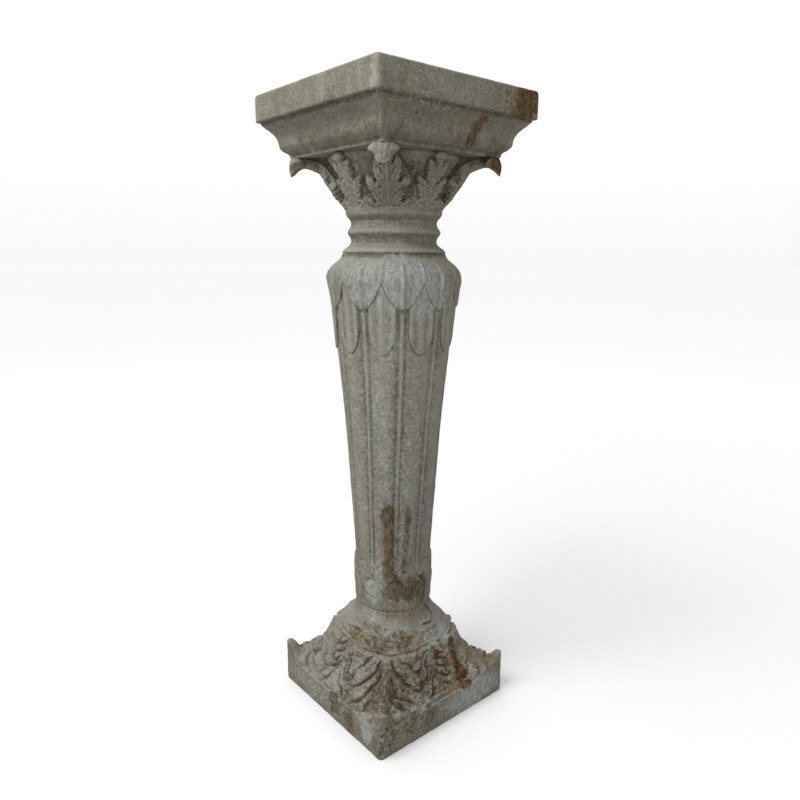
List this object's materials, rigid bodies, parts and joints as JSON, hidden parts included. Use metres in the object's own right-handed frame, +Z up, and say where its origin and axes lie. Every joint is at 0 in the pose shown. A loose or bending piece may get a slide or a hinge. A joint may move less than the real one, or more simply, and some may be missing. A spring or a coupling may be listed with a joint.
{
  "type": "pedestal column",
  "caption": "Cast-iron pedestal column: square plinth with acanthus foot, tapered shaft with hanging tongues, leafy capital and square top slab for a pot or urn, in worn grey paint.",
  "frame": {"origin": "middle of the underside of the square base, on the surface that the column stands on", "axes": "+Z up along the column's axis, +X and +Y square to the sides of the base and of the top slab"},
  "size_m": [0.3064, 0.3064, 1],
  "materials": {
    "worn_paint": "old grey-green paint on cast iron, matt and sandy, with pits, grime in the recesses, flaked brown patches and rust stains"
  },
  "bodies": {
    "root": {"base": "worn_paint", "shaft": "worn_paint", "capital": "worn_paint"}
  },
  "joints": []
}
